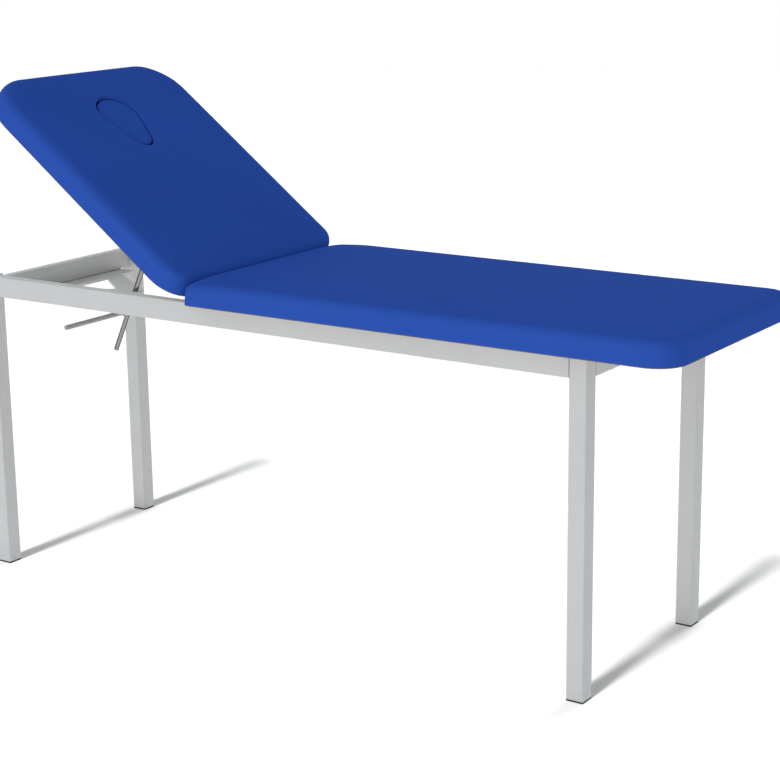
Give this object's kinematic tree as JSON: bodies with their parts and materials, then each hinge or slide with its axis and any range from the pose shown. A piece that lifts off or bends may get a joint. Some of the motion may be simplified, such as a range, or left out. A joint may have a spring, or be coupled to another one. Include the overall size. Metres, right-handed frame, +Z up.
{
  "type": "examination couch",
  "caption": "Examination couch with a padded leg section and a tilting padded backrest that has a plugged face hole, on a square-tube steel frame with a lever-released rod lock.",
  "frame": {"origin": "On the floor, under the middle of the couch's box as it stands with its backrest raised.", "axes": "+X towards the foot end, +Y to the lying person's left, +Z up."},
  "size_m": [1.8684, 0.614, 1.2007],
  "materials": {
    "grey_paint": "satin light grey powder coat",
    "black_plastic": "matte",
    "blue_vinyl": "vinyl-coated upholstery fabric over foam",
    "plywood": "plain birch plywood",
    "chrome": "bright",
    "zinc": "zinc plated",
    "white_nylon": "plain moulded"
  },
  "bodies": {
    "frame": {"leg_head_right": "grey_paint", "leg_head_left": "grey_paint", "leg_foot_right": "grey_paint", "leg_foot_left": "grey_paint", "foot_cap_head_right": "black_plastic", "foot_cap_head_left": "black_plastic", "foot_cap_foot_right": "black_plastic", "foot_cap_foot_left": "black_plastic", "side_rail_right": "grey_paint", "side_rail_left": "grey_paint", "head_rail": "grey_paint", "foot_rail": "grey_paint", "hinge_crossbar": "grey_paint", "seat_crossbar": "grey_paint", "seat_screw_right": "zinc", "seat_screw_left": "zinc", "foot_rail_screw_right": "zinc", "foot_rail_screw_left": "zinc", "seat_pad": "blue_vinyl", "seat_board": "plywood", "hinge_lug_right_inner": "grey_paint", "hinge_lug_right_outer": "grey_paint", "hinge_lug_left_inner": "grey_paint", "hinge_lug_left_outer": "grey_paint", "hinge_pin_right": "zinc", "hinge_pin_left": "zinc", "lock_bracket": "grey_paint", "bracket_bolt_right": "zinc", "bracket_bolt_left": "zinc", "rod_guide": "grey_paint", "brake_lug_head": "grey_paint", "brake_lug_foot": "grey_paint", "lever_pin": "zinc", "lever_spring": "zinc"},
    "backrest": {"backrest_pad": "blue_vinyl", "backrest_board": "plywood", "bearer_right": "grey_paint", "bearer_left": "grey_paint", "backrest_screw_1_right": "zinc", "backrest_screw_1_left": "zinc", "backrest_screw_2_right": "zinc", "backrest_screw_2_left": "zinc", "cross_strap_inner": "grey_paint", "cross_strap_outer": "grey_paint", "hinge_tongue_right": "grey_paint", "hinge_tongue_left": "grey_paint", "track_plate_right": "grey_paint", "track_plate_left": "grey_paint"},
    "face_plug": {"plug_base": "plywood", "plug_pad": "blue_vinyl"},
    "lock_rod": {"lock_rod": "chrome", "rod_stop_pin": "zinc", "rod_fork": "zinc", "track_pin": "zinc", "pin_clip": "zinc", "track_roller_right": "white_nylon", "track_roller_left": "white_nylon"},
    "release_lever": {"brake_plate": "zinc", "release_lever": "grey_paint"}
  },
  "joints": [
    {"name": "backrest_tilt", "type": "hinge", "parent": "frame", "child": "backrest", "pos_m": [-0.28725, 0, 0.7353], "axis": [0, 1, 0], "range_deg": [-36.8, 15.2]},
    {"name": "rod_slide", "type": "slide", "parent": "frame", "child": "lock_rod", "axis": [0.4226, 0, 0.9063], "range_m": [-0.224, 0.093]},
    {"name": "lever_lift", "type": "hinge", "parent": "frame", "child": "release_lever", "pos_m": [-0.70425, 0.028, 0.6188], "axis": [-0.9063, 0, 0.4226], "range_deg": [0, 10], "stiffness_Nm_per_rad": 2, "springref_deg": -8.59, "deforming": ["lever_spring"]},
    {"name": "plug_lift", "type": "slide", "parent": "backrest", "child": "face_plug", "axis": [0.599, 0, 0.8007], "range_m": [0, 0.12]}
  ],
  "couplings": [
    {"joint": "rod_slide", "follows": "backrest_tilt", "m_per_rad": 0.348}
  ]
}
